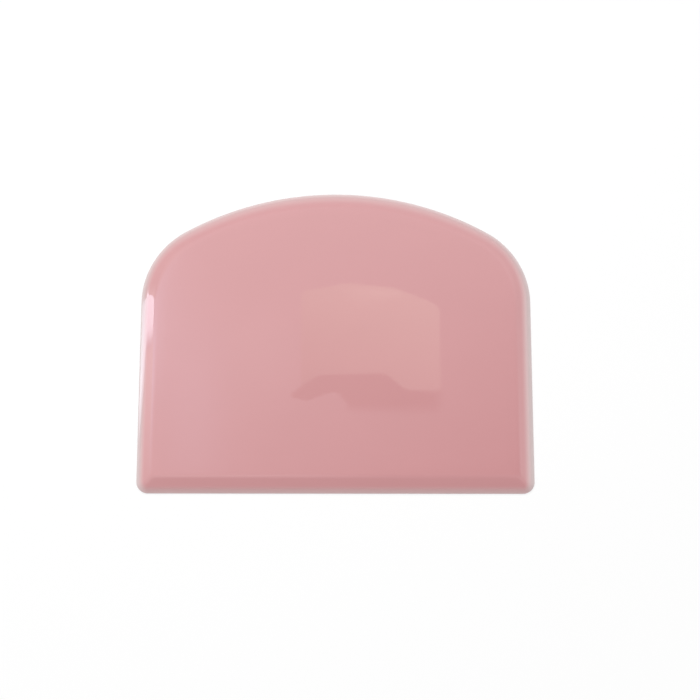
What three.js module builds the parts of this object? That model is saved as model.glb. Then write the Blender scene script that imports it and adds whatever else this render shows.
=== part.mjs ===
// A cake and dough scraper, moulded in one piece: a D-shaped plate that lies on its flat back.
// One bevel runs round the whole outline, and rolls over at a soft knee to leave a thin edge.
// Millimetres, +Z up. X runs across the plate, and +Y from the straight scraping edge to the crown.
// The origin is under the middle of the plate, on the back.

import * as THREE from "three";

// Outline, seen from above
const WIDTH = 118; // between the straight sides
const HEIGHT = 93; // scraping edge to the top of the crown
const CROWN_RISE = 21.1; // how far the crown's arc climbs between the lines of the two sides
const SHOULDER_RADIUS = 25.5; // rounds the crown into each side
const CORNER_RADIUS = 3.5; // at both ends of the scraping edge

// Section across the edge
const THICKNESS = 3; // flat back to flat face
const BEVEL_WIDTH = 4.7; // outline to the crease where the bevel meets the face
const CREASE_RADIUS = 4; // softens the crease
const KNEE_INSET = 1.3; // outline to the knee where the bevel turns down to the edge
const KNEE_HEIGHT = 1.6; // back to the knee
const KNEE_RADIUS = 5; // softens the knee
const EDGE_THICKNESS = 0.5; // left standing at the outline
const EDGE_RADIUS = 0.25; // on the two corners of the edge
const MITRE_RADIUS = 1.2; // left on an inner corner where the bevels of two sides meet
const MOST_OF_A_SIDE = 0.45; // that one rounded corner of the section may take

// Facets
const CORNER_STEPS = 8;
const SHOULDER_STEPS = 16;
const CROWN_STEPS = 36;
const ROUND_STEPS = 4;

// The crown's arc passes through its top and through both side lines, CROWN_RISE below it.
const CROWN_RADIUS = ((WIDTH / 2) ** 2 + CROWN_RISE ** 2) / (2 * CROWN_RISE);
const CROWN_CENTRE_Y = HEIGHT / 2 - CROWN_RADIUS;

function arc(x, y, radius, from, to, steps) {
  return new THREE.EllipseCurve(x, y, radius, radius, from, to).getPoints(steps);
}

// The outline, moved inwards by inset. It runs anticlockwise from the right end of the scraping edge, and
// every inset gives the same number of points. The straight sides are the gaps between the arcs.
function outline(inset) {
  const side = WIDTH / 2 - inset;
  const scrapingEdge = inset - HEIGHT / 2;
  const crown = CROWN_RADIUS - inset;
  const shoulder = Math.max(SHOULDER_RADIUS - inset, MITRE_RADIUS);
  const corner = Math.max(CORNER_RADIUS - inset, MITRE_RADIUS);

  // The shoulder touches the side, and touches the crown's arc from within.
  const shoulderX = side - shoulder;
  const shoulderY = CROWN_CENTRE_Y + Math.sqrt((crown - shoulder) ** 2 - shoulderX ** 2);
  const tangent = Math.atan2(shoulderY - CROWN_CENTRE_Y, shoulderX);

  const right = [
    ...arc(side - corner, scrapingEdge + corner, corner, -Math.PI / 2, 0, CORNER_STEPS),
    ...arc(shoulderX, shoulderY, shoulder, 0, tangent, SHOULDER_STEPS),
  ];
  const left = right.map((point) => new THREE.Vector2(-point.x, point.y)).reverse();
  const top = arc(0, CROWN_CENTRE_Y, crown, tangent, Math.PI - tangent, CROWN_STEPS);
  return [...right, ...top.slice(1, -1), ...left];
}

// The corner of a section between two neighbours, rounded. The sides limit the radius.
function rounded(before, corner, after, radius) {
  const back = before.clone().sub(corner);
  const ahead = after.clone().sub(corner);
  const turn = Math.PI - back.angleTo(ahead);
  const shorter = Math.min(back.length(), ahead.length());
  const reach = Math.min(radius * Math.tan(turn / 2), shorter * MOST_OF_A_SIDE);
  const start = corner.clone().add(back.setLength(reach));
  const end = corner.clone().add(ahead.setLength(reach));
  return new THREE.QuadraticBezierCurve(start, corner, end).getPoints(ROUND_STEPS);
}

// The section from the back, round the edge, over the knee, up the bevel and over the crease to the face.
// Each point's x is its distance in from the outline, and its y is its height above the back.
function edgeSection() {
  const back = new THREE.Vector2(BEVEL_WIDTH, 0);
  const foot = new THREE.Vector2(0, 0);
  const rim = new THREE.Vector2(0, EDGE_THICKNESS);
  const knee = new THREE.Vector2(KNEE_INSET, KNEE_HEIGHT);
  const crease = new THREE.Vector2(BEVEL_WIDTH, THICKNESS);
  const face = new THREE.Vector2(WIDTH / 2, THICKNESS);
  return [
    ...rounded(back, foot, rim, EDGE_RADIUS),
    ...rounded(foot, rim, knee, EDGE_RADIUS),
    ...rounded(rim, knee, crease, KNEE_RADIUS),
    ...rounded(knee, crease, face, CREASE_RADIUS),
  ];
}

// Skin over rings of equal length, closed by a flat face at each end.
function loft(rings) {
  const count = rings[0].length;
  const indices = [];
  for (let ring = 0; ring + 1 < rings.length; ring += 1) {
    for (let i = 0; i < count; i += 1) {
      const a = ring * count + i;
      const b = ring * count + ((i + 1) % count);
      indices.push(a, b, b + count, a, b + count, a + count);
    }
  }
  const last = (rings.length - 1) * count;
  for (const [a, b, c] of THREE.ShapeUtils.triangulateShape(rings[0], [])) {
    indices.push(a, c, b);
  }
  for (const [a, b, c] of THREE.ShapeUtils.triangulateShape(rings[rings.length - 1], [])) {
    indices.push(last + a, last + b, last + c);
  }
  const geometry = new THREE.BufferGeometry().setFromPoints(rings.flat());
  geometry.setIndex(indices);
  geometry.computeVertexNormals();
  return geometry;
}

function scraperPlate() {
  const rings = edgeSection().map((point) => {
    return outline(point.x).map((corner) => new THREE.Vector3(corner.x, corner.y, point.y));
  });
  const pinkPlastic = new THREE.MeshStandardMaterial({ color: 0xd69c9e, roughness: 0.12, metalness: 0 });
  const plate = new THREE.Mesh(loft(rings), pinkPlastic);
  plate.name = "scraper_plate";
  return plate;
}

const scraper = new THREE.Group();
scraper.add(scraperPlate());

export default scraper;
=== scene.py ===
"""A one-piece moulded cake scraper on a white table, laid out as an add-on."""

import math

import bpy
from bpy.props import FloatProperty, FloatVectorProperty, PointerProperty
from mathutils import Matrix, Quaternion, Vector, noise


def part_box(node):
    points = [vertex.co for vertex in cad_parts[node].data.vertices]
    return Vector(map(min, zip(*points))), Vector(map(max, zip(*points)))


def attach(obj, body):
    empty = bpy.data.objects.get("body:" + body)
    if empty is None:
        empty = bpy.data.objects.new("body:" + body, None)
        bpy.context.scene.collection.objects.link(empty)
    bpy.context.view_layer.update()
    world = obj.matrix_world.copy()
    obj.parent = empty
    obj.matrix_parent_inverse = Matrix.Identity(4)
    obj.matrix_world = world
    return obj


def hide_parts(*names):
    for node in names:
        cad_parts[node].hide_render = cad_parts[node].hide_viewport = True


bl_info = {
    "name": "Cake Scraper",
    "version": (1, 0, 0),
    "blender": (4, 5, 0),
    "location": "3D View > Sidebar > Scraper",
    "description": "Builds a one-piece moulded cake scraper and the white table that shows it",
    "category": "Add Mesh",
}

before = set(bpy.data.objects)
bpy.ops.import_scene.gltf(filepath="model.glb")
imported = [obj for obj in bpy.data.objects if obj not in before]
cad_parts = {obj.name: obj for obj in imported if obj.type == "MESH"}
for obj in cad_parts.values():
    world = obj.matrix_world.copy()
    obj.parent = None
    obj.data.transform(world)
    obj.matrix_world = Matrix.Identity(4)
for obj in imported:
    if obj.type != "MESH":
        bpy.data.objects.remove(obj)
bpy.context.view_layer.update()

PLATE_NODE = "scraper_plate"
BODY = "root"
PLATE_LOW, PLATE_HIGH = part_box(PLATE_NODE)
PLATE_SIZE = PLATE_HIGH - PLATE_LOW
MM = 0.001

# Steps along each stretch of the outline
EDGE_STEPS = 48
SIDE_STEPS = 30
CORNER_STEPS = 12
SHOULDER_STEPS = 28
CROWN_STEPS = 72

# Steps across the edge
ROUND_STEPS = 8
BEVEL_STEPS = 5
FACE_STEPS = 14
BACK_STEPS = 8
MOST_OF_A_SIDE = 0.45  # that one rounded corner of a section or a card may take
FACE_DEPTH = 0.9  # of the way to the middle, where the face's rings stop
RIPPLE_FULL = 3  # bevel widths in from the outline, where the face's waves reach their full height

# Mesh attribute that says how much light comes through the thin edge: painted light, with painted shade
# along the crown and the scraping edge
THINNESS_AND_PAINTED_SHADE = "thinness_and_painted_shade"

# Mesh attribute that holds the light of a card
GLOW = "glow"

# Material slots of the plate
FACE_MATERIAL = 0
BACK_MATERIAL = 1
FACING_DOWN = -0.5  # upward share of a normal, below which a face is on the back

# Plastic, with the spacing of the clouds in its colour and of the orange peel on its skin
PLASTIC_IOR = 1.49
CLOUD_SPACING = 14 * MM
CLOUD_STRETCH = (1.6, 1, 1)  # longest across the plate, the way that the plastic flowed
CLOUD_DETAIL = 3.0
PEEL_SPACING = 1.1 * MM
PEEL_DETAIL = 1.0

# Fine scratches each way, as length in spacings, turn in radians, and the noise between which they come up
SCRATCH_SPACING = 0.12 * MM
SCRATCHES = ((90, 0.45, 0.66, 0.74), (70, -0.95, 0.67, 0.75))

# Scratched and hazy areas, with the noise between which they come up
SCRATCHED_SPACING = 22 * MM
SCRATCHED_RANGE = (0.4, 0.65)
HAZE_SPACING = 11 * MM
HAZE_DETAIL = 4.0
HAZE_RANGE = (0.42, 0.7)

# Table, with the distances from the plate's middle between which its shadow runs out to plain white
TABLE_HALF = 3.0
TABLE_DROP = 0.05 * MM  # below the back, so that the two don't share a surface
TABLE_NEAR, TABLE_FAR = 0.08, 0.3
TABLE_WHITENESS = 0.65  # share of plain white beside the plate

# Ceiling that the face mirrors. Its places are those of the face at which the camera sees it
CEILING_RISE = 0.36
CEILING_LEVELS = (1.7, 0.0, 2.6, 2.1)  # over the plate's front left, front right, back left and back right
CEILING_LEFT, CEILING_RIGHT = -0.26, 0.26
CEILING_FRONT, CEILING_BACK = -0.13, 0.27
CEILING_HELD = 0.12  # how far to each side the ceiling keeps its level
GLOW_GROWTH = 0.9  # that the brighter places gain towards the ceiling's left edge
CEILING_STEP = 5 * MM

# Layers of cards, counted down from the ceiling. Each hides what hangs above it
CEILING_LAYER, PANEL_LAYER, SOFT_LAYER, HUMP_LAYER = range(4)
LAYER_GAP = 4 * MM

# Tints of light
NEUTRAL = (1, 1, 1)
COOL = (0.9, 1.1, 1.5)
WARM = (0.97, 1, 0.85)
DAYLIGHT = (1, 1.08, 1.22)

# Brighter places of the ceiling as x, y, reach across, reach along, level and tint
WINDOW_GLOW = (-62 * MM, 8 * MM, 12 * MM, 28 * MM, 1.3, COOL)
LEFT_BAND = (-42 * MM, -20 * MM, 9 * MM, 30 * MM, 0.55, COOL)
BESIDE_PANEL = (-21 * MM, -4 * MM, 15 * MM, 14 * MM, 0.42, NEUTRAL)

# Corners of two cards below the ceiling as x, y and radius, at the places of the face that mirror them
PANEL = (
    (-10.5 * MM, -16 * MM, 1 * MM),
    (31.5 * MM, -16 * MM, 1 * MM),
    (31.5 * MM, 10.6 * MM, 4 * MM),
    (17.5 * MM, 16.1 * MM, 10 * MM),
    (3.5 * MM, 17.6 * MM, 15 * MM),
    (-10.5 * MM, 14.8 * MM, 2 * MM),
)
PANEL_LEVEL = 2.0  # of its light, as it would be in the middle of the face
PANEL_SLOPE = (9, 40)  # more light for each metre to the right and to the back
HUMP = (
    (-14.5 * MM, -17.5 * MM, 1.5 * MM),
    (-9 * MM, -18.9 * MM, 3 * MM),
    (0.2 * MM, -15.9 * MM, 3 * MM),
    (3.4 * MM, -20.2 * MM, 2 * MM),
    (29 * MM, -20.2 * MM, 2 * MM),
    (29 * MM, -16 * MM, 2 * MM),
    (21 * MM, -16 * MM, 6 * MM),
    (15 * MM, -10.7 * MM, 6 * MM),
    (-5.5 * MM, -11.2 * MM, 6 * MM),
)
HUMP_LEVEL = 0.82
HUMP_SLOPE = (-8, 20)

# Sheen along the top of the panel, as rows of x, y and the light that it adds
SHEEN = (
    ((0, 16.8 * MM, 0), (7 * MM, 16.8 * MM, 0), (14 * MM, 16.2 * MM, 0), (20 * MM, 14.9 * MM, 0.2)),
    ((0, 14.5 * MM, 0), (7 * MM, 14.5 * MM, 0.35), (14 * MM, 14.3 * MM, 0.55), (20 * MM, 14 * MM, 0.5)),
    ((0, 9 * MM, 0), (7 * MM, 9 * MM, 0), (14 * MM, 11.4 * MM, 0), (20 * MM, 12.4 * MM, 0)),
)

# Hem that fades the bottom and the right end of the hump, as places on it and places out on the ceiling
HEM = (
    ((3.6 * MM, -20 * MM), (2.6 * MM, -22.2 * MM)),
    ((8 * MM, -20 * MM), (8 * MM, -23.2 * MM)),
    ((20 * MM, -20 * MM), (20 * MM, -23.6 * MM)),
    ((28.8 * MM, -20 * MM), (31 * MM, -23.6 * MM)),
    ((28.8 * MM, -18.5 * MM), (33 * MM, -19 * MM)),
    ((28.8 * MM, -16.2 * MM), (33 * MM, -15.4 * MM)),
)

# Light of the room as elevation in degrees and level, towards each side
RIGHT_LIGHT = ((0, 0.6), (14, 0.6), (26, 2.0), (45, 1.75), (65, 1.4))
BACK_LIGHT = ((0, 0.6), (14, 0.7), (30, 1.8), (45, 1.8), (65, 1.4))
LEFT_LIGHT = ((0, 0.6), (14, 0.6), (26, 2.2), (45, 2.1), (60, 1.9), (75, 1.5))
FRONT_LIGHT = ((0, 0.6), (12, 0.3), (25, 0.0), (40, 0.2), (60, 0.65), (75, 1.2))
FRONT_LEAN = 2.0  # share that the front's light loses towards the right
ROOM_RADIUS = 1.25
ROOM_TURNS = 60
ROOM_RINGS = 24
ROOM_LOW, ROOM_HIGH = math.radians(1), math.radians(89)

# Window on the left and the curtain behind it, as rows of height and of places along y with their levels
WINDOW_X = -0.7
WINDOW_ROWS = (
    (0.02, ((0.090, 1.6), (0.122, 5.8), (0.190, 2.6))),
    (0.32, ((0.136, 2.2), (0.162, 6.2), (0.225, 6.7))),
    (0.47, ((0.184, 2.6), (0.204, 8.2), (0.325, 8.5))),
    (0.54, ((0.206, 2.9), (0.223, 9.0), (0.262, 9.3))),
    (0.60, ((0.225, 3.0), (0.240, 9.8), (0.260, 9.8))),
)
CURTAIN_X = -0.705
CURTAIN_ROWS = (
    (0.40, ((0.10, 2.1), (0.19, 2.1), (0.30, 2.1), (0.42, 2.1))),
    (0.54, ((0.10, 2.1), (0.19, 4.2), (0.30, 3.6), (0.42, 2.1))),
    (0.68, ((0.10, 2.1), (0.19, 4.2), (0.30, 3.6), (0.42, 2.1))),
)


def length(name, description, default):
    """A size in metres that is shown in the scene's own unit."""
    return FloatProperty(
        name=name, description=description, default=default, min=0.0, precision=5, unit="LENGTH"
    )


def share(name, description, default):
    """A number from nothing to all of something."""
    return FloatProperty(
        name=name, description=description, default=default, min=0.0, max=1.0, precision=3, subtype="FACTOR"
    )


def brightness(name, description, default):
    """How bright a light looks, where 1 is white."""
    return FloatProperty(name=name, description=description, default=default, min=0.0)


def angle(name, description, degrees):
    """An angle, given in degrees."""
    return FloatProperty(
        name=name, description=description, default=math.radians(degrees), subtype="ANGLE", unit="ROTATION"
    )


def colour(name, description, default):
    """A linear colour."""
    return FloatVectorProperty(
        name=name, description=description, default=default, min=0.0, max=1.0, size=3, subtype="COLOR"
    )


def spot(name, description, default):
    """A place in metres, on the table or in the room."""
    return FloatVectorProperty(
        name=name,
        description=description,
        default=default,
        size=len(default),
        precision=5,
        unit="LENGTH",
        subtype="XYZ",
    )


class ScraperShape(bpy.types.PropertyGroup):
    """Sizes of the moulded plate."""

    width: length("Width", "Between the straight sides", PLATE_SIZE.x)
    height: length("Height", "Scraping edge to the top of the crown", PLATE_SIZE.y)
    thickness: length("Thickness", "Flat back to flat face", PLATE_SIZE.z)
    crown_rise: length("Crown rise", "Climb of the crown's arc between the lines of the sides", 21.1 * MM)
    shoulder_radius: length("Shoulder radius", "Rounds the crown into each side", 25.5 * MM)
    corner_radius: length("Corner radius", "At both ends of the scraping edge", 3.5 * MM)
    bevel_width: length("Bevel width", "Outline to the crease where the bevel meets the face", 4.7 * MM)
    crease_radius: length("Crease radius", "Softens the crease", 4.0 * MM)
    knee_inset: length("Knee inset", "Outline to the knee where the bevel turns down", 1.3 * MM)
    knee_height: length("Knee height", "Back to the knee", 1.6 * MM)
    knee_radius: length("Knee radius", "Softens the knee", 5.0 * MM)
    edge_thickness: length("Edge thickness", "Left standing at the outline", 0.5 * MM)
    edge_radius: length("Edge radius", "On the two corners of the edge", 0.25 * MM)
    mitre_radius: length("Mitre radius", "Left where the bevels of two sides meet", 1.2 * MM)
    ripple_height: length("Ripple height", "Of the slow waves that cooling leaves in the face", 0.012 * MM)
    ripple_length: length("Ripple length", "From one slow wave to the next", 38.0 * MM)
    rim_left: length("Rim, left", "How far in the left side looks pale", 2.6 * MM)
    rim_right: length("Rim, right", "How far in the right side looks pale", 3.4 * MM)
    rim_crown: length("Rim, crown", "How far in the crown looks pale", 4.7 * MM)
    rim_scraping: length("Rim, scraping edge", "How far in the scraping edge looks pale", 2.3 * MM)
    rim_loss: length("Rim loss", "Taken off the pale rim at the shoulders", 0.4 * MM)
    # Painted shade taken off the pale rims of the crown and the scraping edge
    crown_painted_shade: share("Crown shade", "Paleness that the crown's rim lacks", 0.1)
    scraping_painted_shade: share("Scraping edge shade", "Paleness that the scraping edge's rim lacks", 0.45)


class ScraperFinish(bpy.types.PropertyGroup):
    """Colours and polish of the plastic."""

    body_colour: colour("Body", "Plastic at its full thickness", (0.607, 0.290, 0.299))
    # Partly the thin plastic's own colour and partly painted light coming through it
    rim_colour: colour("Rim", "Plastic where it is thin and light comes through", (0.735, 0.62, 0.615))
    face_polish: share("Face roughness", "Of the polished face", 0.02)
    back_polish: share("Back roughness", "Of the side that slides on the table", 0.16)
    clouding: share("Clouding", "Uneven colour from the pigment's flow", 0.02)
    scratches: share("Scratches", "Roughness that fine scratches add", 0.05)
    smudges: share("Smudges", "Roughness that handling adds", 0.01)
    peel_depth: length("Peel depth", "Of the deepest orange peel that the mould leaves", 0.001 * MM)
    face_peel: share("Face peel", "Of the peel depth that the polished face keeps", 0.4)
    back_peel: share("Back peel", "Of the peel depth that the back keeps", 1.0)


class ScraperStage(bpy.types.PropertyGroup):
    """Camera, table and light."""

    aim: spot("Aim", "Point of the table in the middle of the picture", (4.275 * MM, -2.692 * MM))
    distance: length("Distance", "Camera to its aim", 538.8 * MM)
    elevation: angle("Elevation", "Of the camera above the table", 76.212)
    azimuth: angle("Azimuth", "Of the camera round the plate", -1.213)
    roll: angle("Roll", "Turn of the camera about its own axis", 1.269)
    lens: FloatProperty(name="Lens", description="Focal length", default=91.8, min=1.0, unit="CAMERA")
    sky: brightness("Sky", "Even light from all round", 0.40)
    key_power: FloatProperty(
        name="Key power", description="Of the softbox above the left shoulder", default=9.3, unit="POWER"
    )
    key_size: length("Key size", "Side of the softbox", 0.8)
    key_place: spot("Key place", "Middle of the softbox", (-0.16, 0.29, 1.02))
    table_colour: colour("Table", "White table top", (0.96, 0.96, 0.96))


def arc(x, y, radius, start, end, steps):
    """Points of an arc as (x, y, heading), where heading is the way that the edge faces."""
    points = []
    for step in range(steps + 1):
        heading = start + (end - start) * step / steps
        points.append((x + radius * math.cos(heading), y + radius * math.sin(heading), heading))
    return points


def between(start, end, steps):
    """Points inside a straight stretch, which faces as its ends do."""
    points = []
    for step in range(1, steps):
        along = step / steps
        x = start[0] + (end[0] - start[0]) * along
        y = start[1] + (end[1] - start[1]) * along
        points.append((x, y, start[2]))
    return points


def outline(shape, inset):
    """The outline moved inwards by inset, anticlockwise from the right end of the scraping edge."""
    crown_radius = ((shape.width / 2) ** 2 + shape.crown_rise**2) / (2 * shape.crown_rise)
    crown_y = shape.height / 2 - crown_radius
    side = shape.width / 2 - inset
    scraping_edge = inset - shape.height / 2
    crown = crown_radius - inset
    shoulder = max(shape.shoulder_radius - inset, shape.mitre_radius)
    corner = max(shape.corner_radius - inset, shape.mitre_radius)

    # The shoulder touches the side, and touches the crown's arc from within.
    shoulder_x = side - shoulder
    shoulder_y = crown_y + math.sqrt((crown - shoulder) ** 2 - shoulder_x**2)
    tangent = math.atan2(shoulder_y - crown_y, shoulder_x)

    corner_y = scraping_edge + corner
    right_corner = arc(side - corner, corner_y, corner, -math.pi / 2, 0, CORNER_STEPS)
    right_shoulder = arc(shoulder_x, shoulder_y, shoulder, 0, tangent, SHOULDER_STEPS)
    top = arc(0, crown_y, crown, tangent, math.pi - tangent, CROWN_STEPS)
    left_shoulder = arc(-shoulder_x, shoulder_y, shoulder, math.pi - tangent, math.pi, SHOULDER_STEPS)
    left_corner = arc(corner - side, corner_y, corner, math.pi, math.pi * 1.5, CORNER_STEPS)
    return [
        *right_corner,
        *between(right_corner[-1], right_shoulder[0], SIDE_STEPS),
        *right_shoulder,
        *top[1:-1],
        *left_shoulder,
        *between(left_shoulder[-1], left_corner[0], SIDE_STEPS),
        *left_corner,
        *between(left_corner[-1], right_corner[0], EDGE_STEPS),
    ]


def rounded(before, corner, after, radius):
    """A corner between two neighbours, rounded. Its sides limit the radius."""
    back = before - corner
    ahead = after - corner
    turn = math.pi - back.angle(ahead)
    shorter = min(back.length, ahead.length)
    reach = min(radius * math.tan(turn / 2), shorter * MOST_OF_A_SIDE)
    start = corner + back.normalized() * reach
    end = corner + ahead.normalized() * reach
    points = []
    for step in range(ROUND_STEPS + 1):
        along = step / ROUND_STEPS
        points.append(start.lerp(corner, along).lerp(corner.lerp(end, along), along))
    return points


def steps_to(start, end, steps):
    """Points from just after start up to and with end."""
    return [start.lerp(end, (step + 1) / steps) for step in range(steps)]


def section(shape):
    """Rings of the plate as (inset, height): out along the back, round the edge, up onto the face."""
    deepest = shape.height / 2 * FACE_DEPTH
    back = Vector((shape.bevel_width, 0))
    foot = Vector((0, 0))
    rim = Vector((0, shape.edge_thickness))
    knee = Vector((shape.knee_inset, shape.knee_height))
    crease = Vector((shape.bevel_width, shape.thickness))
    face = Vector((deepest, shape.thickness))

    foot_round = rounded(back, foot, rim, shape.edge_radius)
    rim_round = rounded(foot, rim, knee, shape.edge_radius)
    knee_round = rounded(rim, knee, crease, shape.knee_radius)
    crease_round = rounded(knee, crease, face, shape.crease_radius)
    return [
        back,
        *steps_to(back, foot_round[0], BACK_STEPS)[:-1],
        *foot_round,
        *rim_round,
        *knee_round,
        *steps_to(knee_round[-1], crease_round[0], BEVEL_STEPS)[:-1],
        *crease_round,
        *steps_to(crease_round[-1], face, FACE_STEPS),
    ]


def held(value):
    """The value, kept between 0 and 1."""
    return min(max(value, 0), 1)


def smooth_step(low, high, value):
    """0 up to low, 1 from high, and smooth between them."""
    along = held((value - low) / (high - low))
    return along * along * (3 - 2 * along)


def thinness_and_painted_shade(shape, inset, heading):
    """Painted light through the thin edge, from 0 to 1, dimmed by painted shade along the crown and the
    scraping edge. It fades early at the crown and late elsewhere.
    """
    across, along = math.cos(heading), math.sin(heading)
    upwards = max(along, 0)
    side = shape.rim_right if across > 0 else shape.rim_left
    end = shape.rim_crown if along > 0 else shape.rim_scraping
    # Painted shade: the rims of the crown and the scraping edge keep less of their paleness
    shade = shape.crown_painted_shade if along > 0 else shape.scraping_painted_shade
    shoulder = (2 * across * upwards) ** 2
    width = side * across**2 + end * along**2 - shape.rim_loss * shoulder
    nearness = held(1 - inset / width)
    early = nearness**2
    late = smooth_step(0, 1, nearness)
    return (1 - shade * along**2) * (late + (early - late) * upwards)


def ripple(shape, x, y, inset):
    """Depth of the face's slow waves, which fade out at the crease."""
    fade = smooth_step(shape.bevel_width, shape.bevel_width * RIPPLE_FULL, inset)
    return shape.ripple_height * fade * noise.noise(Vector((x, y, 0)) / shape.ripple_length)


def strip(ring, following):
    """Quads between two rings of equal length."""
    ends = [*zip(ring, following), (ring[0], following[0])]
    return [(a, b, d, c) for (a, c), (b, d) in zip(ends, ends[1:])]


def fan(ring, middle):
    """Triangles from a ring to the point in its middle."""
    return [(a, b, middle) for a, b in zip(ring, ring[1:] + ring[:1])]


def plate_mesh(shape):
    """The plate's skin, from rings of equal length that close in the middle of the back and of the face."""
    middle = shape.height / 2
    vertices = [(0, 0, 0), (0, 0, shape.thickness + ripple(shape, 0, 0, middle))]
    back_middle, face_middle = range(len(vertices))
    thin = [0] * len(vertices)
    rings = []
    for inset, height in section(shape):
        ring = []
        for x, y, heading in outline(shape, inset):
            ring.append(len(vertices))
            vertices.append((x, y, height + ripple(shape, x, y, inset)))
            thin.append(thinness_and_painted_shade(shape, inset, heading))
        rings.append(ring)

    faces = fan(rings[0][::-1], back_middle)
    for ring, following in zip(rings, rings[1:]):
        faces += strip(ring, following)
    faces += fan(rings[-1], face_middle)

    mesh = bpy.data.meshes.new("scraper_plate")
    mesh.from_pydata(vertices, [], faces)
    mesh.attributes.new(THINNESS_AND_PAINTED_SHADE, "FLOAT", "POINT").data.foreach_set("value", thin)
    mesh.shade_smooth()
    for face in mesh.polygons:
        face.material_index = BACK_MATERIAL if face.normal.z < FACING_DOWN else FACE_MATERIAL
    return mesh


def add_node(tree, kind, **settings):
    """A node with its settings."""
    node = tree.nodes.new(kind)
    for name, value in settings.items():
        setattr(node, name, value)
    return node


def feed(tree, socket, value):
    """Sets a socket to a value, or wires another node's output to it."""
    if isinstance(value, bpy.types.NodeSocket):
        tree.links.new(value, socket)
    else:
        socket.default_value = value


def math_node(tree, operation, *values):
    """The output of a calculation with two or three values, each a number or another node's output."""
    node = add_node(tree, "ShaderNodeMath", operation=operation)
    for socket, value in zip(node.inputs, values):
        feed(tree, socket, value)
    return node.outputs["Value"]


def mapped(tree, value, low, high, to_low=0.0, to_high=1.0):
    """The output of a value taken smoothly from one range to another and held there."""
    node = add_node(tree, "ShaderNodeMapRange", interpolation_type="SMOOTHSTEP")
    feed(tree, node.inputs["Value"], value)
    feed(tree, node.inputs["From Min"], low)
    feed(tree, node.inputs["From Max"], high)
    feed(tree, node.inputs["To Min"], to_low)
    feed(tree, node.inputs["To Max"], to_high)
    return node.outputs["Result"]


def noise_on_part(tree, spacing, stretch=(1, 1, 1), turn=0.0, detail=2.0):
    """The output of a noise fixed to the part, whose lumps are about spacing apart."""
    place = add_node(tree, "ShaderNodeTexCoord")
    mapping = add_node(tree, "ShaderNodeMapping", vector_type="TEXTURE")
    mapping.inputs["Rotation"].default_value = (0, 0, turn)
    mapping.inputs["Scale"].default_value = [spacing * part for part in stretch]
    texture = add_node(tree, "ShaderNodeTexNoise")
    texture.inputs["Scale"].default_value = 1.0
    texture.inputs["Detail"].default_value = detail
    tree.links.new(place.outputs["Object"], mapping.inputs["Vector"])
    tree.links.new(mapping.outputs["Vector"], texture.inputs["Vector"])
    return texture.outputs["Fac"]


def new_group(name, inputs, output, kind):
    """An empty shader group, with the sockets of its input node and its output socket."""
    group = bpy.data.node_groups.new(name, "ShaderNodeTree")
    for socket_name, socket_kind in inputs:
        group.interface.new_socket(name=socket_name, in_out="INPUT", socket_type=socket_kind)
    group.interface.new_socket(name=output, in_out="OUTPUT", socket_type=kind)
    start = add_node(group, "NodeGroupInput")
    end = add_node(group, "NodeGroupOutput")
    return group, start.outputs, end.inputs[output]


def plastic_colour_group():
    """Pigmented plastic: paler where it is thin, partly its own colour and partly painted light coming
    through, with painted shade along the crown and the scraping edge, and slightly clouded by the way it
    flowed.
    """
    sockets = [
        ("Body", "NodeSocketColor"),
        ("Rim", "NodeSocketColor"),
        ("Thinness", "NodeSocketFloat"),
        ("Clouding", "NodeSocketFloat"),
    ]
    group, given, result = new_group("Plastic Colour", sockets, "Colour", "NodeSocketColor")
    paling = add_node(group, "ShaderNodeMix", data_type="RGBA")
    group.links.new(given["Thinness"], paling.inputs["Factor"])
    group.links.new(given["Body"], paling.inputs["A"])
    group.links.new(given["Rim"], paling.inputs["B"])

    clouds = noise_on_part(group, CLOUD_SPACING, stretch=CLOUD_STRETCH, detail=CLOUD_DETAIL)
    light_and_dark = math_node(group, "MULTIPLY_ADD", clouds, 2.0, -1.0)
    swing = math_node(group, "MULTIPLY", light_and_dark, given["Clouding"])
    clouded = add_node(group, "ShaderNodeHueSaturation")
    group.links.new(math_node(group, "ADD", swing, 1.0), clouded.inputs["Value"])
    group.links.new(paling.outputs["Result"], clouded.inputs["Color"])
    group.links.new(clouded.outputs["Color"], result)
    return group


def handling_marks_group():
    """Roughness of a polished skin with fine crossed scratches and the haze of hands."""
    sockets = [
        ("Polish", "NodeSocketFloat"),
        ("Scratches", "NodeSocketFloat"),
        ("Smudges", "NodeSocketFloat"),
    ]
    group, given, result = new_group("Handling Marks", sockets, "Roughness", "NodeSocketFloat")
    one_way, other_way = [
        mapped(group, noise_on_part(group, SCRATCH_SPACING, stretch=(1, reach, 1), turn=turn), low, high)
        for reach, turn, low, high in SCRATCHES
    ]
    lines = math_node(group, "MAXIMUM", one_way, other_way)
    where = mapped(group, noise_on_part(group, SCRATCHED_SPACING), *SCRATCHED_RANGE)
    scratched = math_node(group, "MULTIPLY", lines, where)
    haze = mapped(group, noise_on_part(group, HAZE_SPACING, detail=HAZE_DETAIL), *HAZE_RANGE)
    from_scratches = math_node(group, "MULTIPLY", scratched, given["Scratches"])
    from_haze = math_node(group, "MULTIPLY", haze, given["Smudges"])
    marks = math_node(group, "ADD", from_scratches, from_haze)
    group.links.new(math_node(group, "ADD", marks, given["Polish"]), result)
    return group


def moulded_skin_group():
    """Height of the faint orange peel that a mould leaves."""
    sockets = [("Depth", "NodeSocketFloat")]
    group, given, result = new_group("Moulded Skin", sockets, "Height", "NodeSocketFloat")
    peel = noise_on_part(group, PEEL_SPACING, detail=PEEL_DETAIL)
    group.links.new(math_node(group, "MULTIPLY", peel, given["Depth"]), result)
    return group


def place_group(tree, group, **values):
    """The output of a group in a material, with its own values or wires."""
    node = add_node(tree, "ShaderNodeGroup", node_tree=group)
    for name, value in values.items():
        feed(tree, node.inputs[name], value)
    return node.outputs[0]


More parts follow.
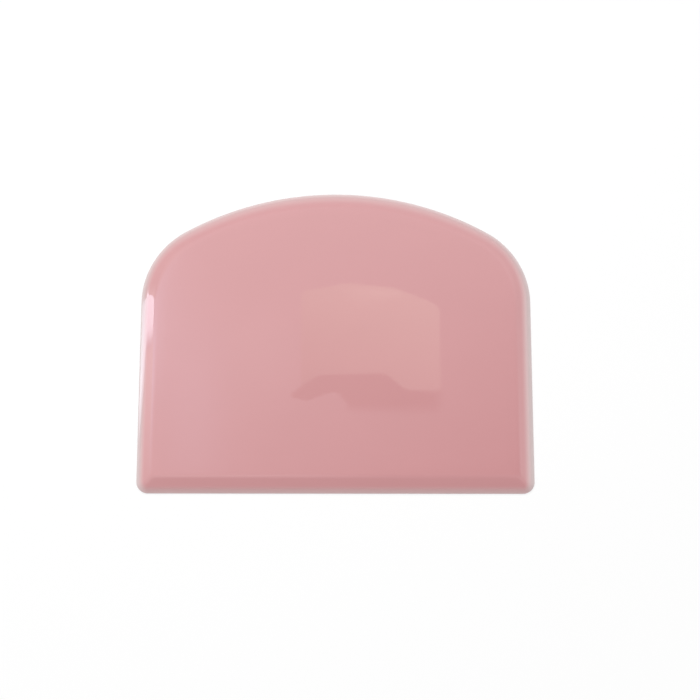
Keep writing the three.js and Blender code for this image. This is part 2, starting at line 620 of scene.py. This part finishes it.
def plastic_material(name, groups, finish, polish, peel):
    """Glossy pink plastic with its own polish and orange peel."""
    material = bpy.data.materials.new(name)
    material.use_nodes = True
    tree = material.node_tree
    skin = tree.nodes["Principled BSDF"]
    skin.inputs["IOR"].default_value = PLASTIC_IOR
    colour_group, marks_group, skin_group = groups

    thin = add_node(tree, "ShaderNodeAttribute", attribute_name=THINNESS_AND_PAINTED_SHADE)
    tint = place_group(
        tree,
        colour_group,
        Body=(*finish.body_colour, 1),
        Rim=(*finish.rim_colour, 1),
        Thinness=thin.outputs["Fac"],
        Clouding=finish.clouding,
    )
    tree.links.new(tint, skin.inputs["Base Color"])
    rough = place_group(
        tree,
        marks_group,
        Polish=polish,
        Scratches=finish.scratches,
        Smudges=finish.smudges,
    )
    tree.links.new(rough, skin.inputs["Roughness"])
    bump = add_node(tree, "ShaderNodeBump")
    bump.inputs["Strength"].default_value = 1.0
    bump.inputs["Distance"].default_value = finish.peel_depth
    tree.links.new(place_group(tree, skin_group, Depth=peel), bump.inputs["Height"])
    tree.links.new(bump.outputs["Normal"], skin.inputs["Normal"])
    return material


def show(name, data):
    """A new object in the scene."""
    thing = bpy.data.objects.new(name, data)
    bpy.context.scene.collection.objects.link(thing)
    return thing


class SCRAPER_OT_mould_plate(bpy.types.Operator):
    """Mould the plate, with its bevel, knee and thin pale edge"""

    bl_idname = "scraper.mould_plate"
    bl_label = "Mould Plate"

    def execute(self, context):
        shape = context.scene.scraper_shape
        finish = context.scene.scraper_finish
        plate = show("plate", plate_mesh(shape))
        groups = (plastic_colour_group(), handling_marks_group(), moulded_skin_group())
        face = plastic_material("pink_face", groups, finish, finish.face_polish, finish.face_peel)
        back = plastic_material("pink_back", groups, finish, finish.back_polish, finish.back_peel)
        plate.data.materials.append(face)
        plate.data.materials.append(back)
        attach(plate, BODY)
        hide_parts(PLATE_NODE)
        return {"FINISHED"}


def add_camera(stage):
    """The camera, above the scraping edge."""
    aim = Vector((*stage.aim, 0))
    flat = math.cos(stage.elevation)
    back = Vector((
        math.sin(stage.azimuth) * flat,
        -math.cos(stage.azimuth) * flat,
        math.sin(stage.elevation),
    ))
    camera = show("camera", bpy.data.cameras.new("camera"))
    camera.data.lens = stage.lens
    camera.rotation_mode = "QUATERNION"
    camera.location = aim + back * stage.distance
    roll = Quaternion((0, 0, 1), stage.roll)
    camera.rotation_quaternion = (-back).to_track_quat("-Z", "Y") @ roll
    bpy.context.scene.camera = camera
    return camera


def shown_ray(tree):
    """The output of a test for rays that show the background: straight, mirrored or through glass."""
    path = add_node(tree, "ShaderNodeLightPath")
    straight_or_mirrored = math_node(
        tree, "MAXIMUM", path.outputs["Is Camera Ray"], path.outputs["Is Glossy Ray"]
    )
    return math_node(tree, "MAXIMUM", straight_or_mirrored, path.outputs["Is Transmission Ray"])


def light_world(stage):
    """Even light all round, which shows as white."""
    world = bpy.data.worlds.new("white_room")
    bpy.context.scene.world = world
    world.use_nodes = True
    tree = world.node_tree
    background = tree.nodes["Background"]
    background.inputs["Color"].default_value = (*NEUTRAL, 1)
    tree.links.new(mapped(tree, shown_ray(tree), 0, 1, stage.sky, 1.0), background.inputs["Strength"])


def table_material(stage):
    """White that keeps a soft shadow near the plate and runs out to plain white."""
    material = bpy.data.materials.new("white_table")
    material.use_nodes = True
    tree = material.node_tree
    tree.nodes.remove(tree.nodes["Principled BSDF"])
    lit = add_node(tree, "ShaderNodeBsdfDiffuse")
    lit.inputs["Color"].default_value = (*stage.table_colour, 1)
    white = add_node(tree, "ShaderNodeEmission")
    both = add_node(tree, "ShaderNodeMixShader")
    place = add_node(tree, "ShaderNodeTexCoord")
    away = add_node(tree, "ShaderNodeVectorMath", operation="LENGTH")
    tree.links.new(place.outputs["Object"], away.inputs[0])
    whiteness = mapped(tree, away.outputs["Value"], TABLE_NEAR, TABLE_FAR, TABLE_WHITENESS, 1.0)
    tree.links.new(math_node(tree, "MULTIPLY", shown_ray(tree), whiteness), both.inputs["Fac"])
    tree.links.new(lit.outputs["BSDF"], both.inputs[1])
    tree.links.new(white.outputs["Emission"], both.inputs[2])
    tree.links.new(both.outputs["Shader"], tree.nodes["Material Output"].inputs["Surface"])
    return material


def add_table(stage):
    """The white table top that the plate lies on."""
    signs = ((-1, -1), (1, -1), (1, 1), (-1, 1))
    corners = [(x * TABLE_HALF, y * TABLE_HALF, -TABLE_DROP) for x, y in signs]
    mesh = bpy.data.meshes.new("table")
    mesh.from_pydata(corners, [], [(0, 1, 2, 3)])
    mesh.materials.append(table_material(stage))
    table = show("table", mesh)


def add_key(stage):
    """A large softbox above the left shoulder."""
    light = bpy.data.lights.new("key", "AREA")
    light.energy = stage.key_power
    light.size = stage.key_size
    key = show("key", light)
    key.location = stage.key_place
    key.rotation_mode = "QUATERNION"
    key.rotation_quaternion = (-key.location).to_track_quat("-Z", "Y")
    key.visible_glossy = False


def glow_material():
    """Light, as bright as each point of a card says."""
    material = bpy.data.materials.new("glow")
    material.use_nodes = True
    tree = material.node_tree
    tree.nodes.remove(tree.nodes["Principled BSDF"])
    glow = add_node(tree, "ShaderNodeAttribute", attribute_name=GLOW)
    light = add_node(tree, "ShaderNodeEmission")
    tree.links.new(glow.outputs["Color"], light.inputs["Color"])
    tree.links.new(light.outputs["Emission"], tree.nodes["Material Output"].inputs["Surface"])
    return material


def tinted(level, tint=NEUTRAL):
    """Light of that level and tint."""
    return Vector(tint) * level


def add_card(name, material, points, faces, lights):
    """A card that only gloss sees, with a light for each of its points."""
    mesh = bpy.data.meshes.new(name)
    mesh.from_pydata(points, [], faces)
    glow = mesh.attributes.new(GLOW, "FLOAT_VECTOR", "POINT")
    glow.data.foreach_set("vector", [channel for light in lights for channel in light])
    mesh.materials.append(material)
    card = show(name, mesh)
    card.visible_camera = False
    card.visible_diffuse = False
    card.visible_transmission = False
    card.visible_shadow = False


def add_rows(name, material, rows, lights):
    """A card through rows of points, with a row of lights for each row of points."""
    across = len(rows[0])
    faces = []
    for row in range(len(rows) - 1):
        for i in range(row * across, (row + 1) * across - 1):
            faces.append((i, i + 1, i + 1 + across, i + across))
    add_card(name, material, sum(rows, []), faces, sum(lights, []))


def add_side_wall(name, material, x, rows, tint):
    """An upright card at x, with a level for each place of its rows."""
    points = [[Vector((x, y, height)) for y, level in row] for height, row in rows]
    lights = [[tinted(level, tint) for y, level in row] for height, row in rows]
    add_rows(name, material, points, lights)


def level_at(profile, elevation):
    """The level of a profile at an elevation in degrees."""
    for (low, low_level), (high, high_level) in zip(profile, profile[1:]):
        if elevation < high:
            along = held((elevation - low) / (high - low))
            return low_level + (high_level - low_level) * along
    return profile[-1][1]


def room_level(place):
    """Light of the room towards a place: bright at the sides, and dark in front."""
    elevation = math.degrees(math.atan2(place.z, place.xy.length))
    across, along = place.xy.normalized()
    side = level_at(RIGHT_LIGHT if across > 0 else LEFT_LIGHT, elevation)
    if along > 0:
        end = level_at(BACK_LIGHT, elevation)
    else:
        end = level_at(FRONT_LIGHT, elevation) * max(1 - FRONT_LEAN * across, 0)
    return side * across**2 + end * along**2


def add_room(material):
    """The lit room that the bevel mirrors, as a dome."""
    rows = []
    for ring in range(ROOM_RINGS + 1):
        elevation = ROOM_LOW + (ROOM_HIGH - ROOM_LOW) * ring / ROOM_RINGS
        height = ROOM_RADIUS * math.sin(elevation)
        circle = arc(0, 0, ROOM_RADIUS * math.cos(elevation), 0, math.tau, ROOM_TURNS)
        rows.append([Vector((x, y, height)) for x, y, heading in circle])
    add_rows("room", material, rows, [[tinted(room_level(place)) for place in row] for row in rows])


def mirrored(place, eye, face, rise):
    """Where a card at that rise above the face hangs, for the eye to see it mirrored at that place."""
    point = Vector((*place, face))
    ray = point - eye
    return point + Vector((ray.x, ray.y, -ray.z)) * (rise / -ray.z)


def blended(corners, across, along):
    """Between four corners, in the order front left, front right, back left and back right."""
    front = corners[0] * (1 - across) + corners[1] * across
    back = corners[2] * (1 - across) + corners[3] * across
    return front * (1 - along) + back * along


def ceiling_light(shape, x, y, place):
    """Light of the ceiling that the face mirrors at x and y. Past the plate it fades into the room's."""
    across = held(x / shape.width + 0.5)
    along = held(y / shape.height + 0.5)
    level = blended(CEILING_LEVELS, across, along)
    fade = max(
        smooth_step(CEILING_HELD, CEILING_RIGHT, abs(x)),
        smooth_step(shape.height / 2, CEILING_BACK, y),
        smooth_step(shape.height / 2, -CEILING_FRONT, -y),
    )
    light = tinted(level + (room_level(place) - level) * fade)
    for glow_x, glow_y, wide, deep, extra, tint in (WINDOW_GLOW, LEFT_BAND, BESIDE_PANEL):
        off_x = max(x, -shape.width / 2) - glow_x
        growth = 1 + GLOW_GROWTH * smooth_step(shape.width / 2, -CEILING_LEFT, -x)
        glow = extra * growth * math.exp(-((off_x / wide) ** 2) - ((y - glow_y) / deep) ** 2)
        light += tinted(glow, tint)
    return light


def card_light(level, slope, place):
    """Light of a card at a place of the face, from its level in the middle of the face and its slope."""
    return tinted(level + slope[0] * place[0] + slope[1] * place[1], WARM)


def rounded_outline(corners):
    """Points of a closed outline from its corners, each with a radius."""
    places = [Vector((x, y)) for x, y, radius in corners]
    points = []
    for i, (x, y, radius) in enumerate(corners):
        points += rounded(places[i - 1], places[i], places[(i + 1) % len(places)], radius)
    return points


def hang(places, layer, eye, shape):
    """Points in a layer of cards, which the eye sees mirrored at those places of the face."""
    rise = CEILING_RISE - layer * LAYER_GAP
    return [mirrored(place, eye, shape.thickness, rise) for place in places]


def add_ceiling(material, eye, shape):
    """The lit ceiling that the face mirrors."""
    step = CEILING_STEP
    xs = [x * step for x in range(math.ceil(CEILING_LEFT / step), math.ceil(CEILING_RIGHT / step) + 1)]
    ys = [y * step for y in range(math.ceil(CEILING_FRONT / step), math.ceil(CEILING_BACK / step) + 1)]
    rows = [hang([(x, y) for x in xs], CEILING_LAYER, eye, shape) for y in ys]
    lights = [[ceiling_light(shape, x, y, place) for x, place in zip(xs, row)] for y, row in zip(ys, rows)]
    add_rows("ceiling", material, rows, lights)


def add_panel_and_hump(material, eye, shape):
    """A paler panel below the ceiling, and a darker hump across its foot."""
    cards = (
        ("panel", PANEL, PANEL_LEVEL, PANEL_SLOPE, PANEL_LAYER),
        ("hump", HUMP, HUMP_LEVEL, HUMP_SLOPE, HUMP_LAYER),
    )
    for name, corners, level, slope, layer in cards:
        places = rounded_outline(corners)
        points = hang(places, layer, eye, shape)
        lights = [card_light(level, slope, place) for place in places]
        add_card(name, material, points, [tuple(range(len(points)))], lights)


def add_sheen(material, eye, shape):
    """A brighter band along the top of the panel."""
    rows = [hang([(x, y) for x, y, gain in row], SOFT_LAYER, eye, shape) for row in SHEEN]
    lights = [[card_light(PANEL_LEVEL + gain, PANEL_SLOPE, (x, y)) for x, y, gain in row] for row in SHEEN]
    add_rows("sheen", material, rows, lights)


def add_hem(material, eye, shape):
    """A soft edge, from the light of the hump to that of the ceiling."""
    dark, plain = zip(*HEM)
    rows = [hang(dark, SOFT_LAYER, eye, shape), hang(plain, SOFT_LAYER, eye, shape)]
    lights = [
        [card_light(HUMP_LEVEL, HUMP_SLOPE, place) for place in dark],
        [ceiling_light(shape, *place, point) for place, point in zip(plain, rows[1])],
    ]
    add_rows("hem", material, rows, lights)


def add_window(material):
    """The bright window that the left bevel mirrors, with its curtain behind it."""
    add_side_wall("window", material, WINDOW_X, WINDOW_ROWS, DAYLIGHT)
    add_side_wall("curtain", material, CURTAIN_X, CURTAIN_ROWS, NEUTRAL)


class SCRAPER_OT_set_stage(bpy.types.Operator):
    """Set the camera, the white table and the soft light"""

    bl_idname = "scraper.set_stage"
    bl_label = "Set Stage"

    def execute(self, context):
        shape = context.scene.scraper_shape
        stage = context.scene.scraper_stage
        eye = add_camera(stage).location
        light_world(stage)
        add_table(stage)
        add_key(stage)
        glow = glow_material()
        add_ceiling(glow, eye, shape)
        add_panel_and_hump(glow, eye, shape)
        add_sheen(glow, eye, shape)
        add_hem(glow, eye, shape)
        add_room(glow)
        add_window(glow)
        context.scene.view_settings.view_transform = "Standard"
        return {"FINISHED"}


class SCRAPER_PT_sidebar(bpy.types.Panel):
    """Sizes, finish and stage of the scraper"""

    bl_idname = "SCRAPER_PT_sidebar"
    bl_label = "Cake Scraper"
    bl_space_type = "VIEW_3D"
    bl_region_type = "UI"
    bl_category = "Scraper"

    def draw(self, context):
        scene = context.scene
        for settings, step in (
            (scene.scraper_shape, None),
            (scene.scraper_finish, SCRAPER_OT_mould_plate),
            (scene.scraper_stage, SCRAPER_OT_set_stage),
        ):
            column = self.layout.column(align=True)
            for name in settings.__annotations__:
                column.prop(settings, name)
            if step:
                self.layout.operator(step.bl_idname)


CLASSES = (
    ScraperShape,
    ScraperFinish,
    ScraperStage,
    SCRAPER_OT_mould_plate,
    SCRAPER_OT_set_stage,
    SCRAPER_PT_sidebar,
)


def register():
    for each in CLASSES:
        bpy.utils.register_class(each)
    bpy.types.Scene.scraper_shape = PointerProperty(type=ScraperShape)
    bpy.types.Scene.scraper_finish = PointerProperty(type=ScraperFinish)
    bpy.types.Scene.scraper_stage = PointerProperty(type=ScraperStage)


def unregister():
    del bpy.types.Scene.scraper_stage
    del bpy.types.Scene.scraper_finish
    del bpy.types.Scene.scraper_shape
    for each in reversed(CLASSES):
        bpy.utils.unregister_class(each)


def main():
    """Builds the scraper and its stage."""
    register()
    bpy.ops.scraper.mould_plate()
    bpy.ops.scraper.set_stage()


if __name__ == "__main__":
    main()
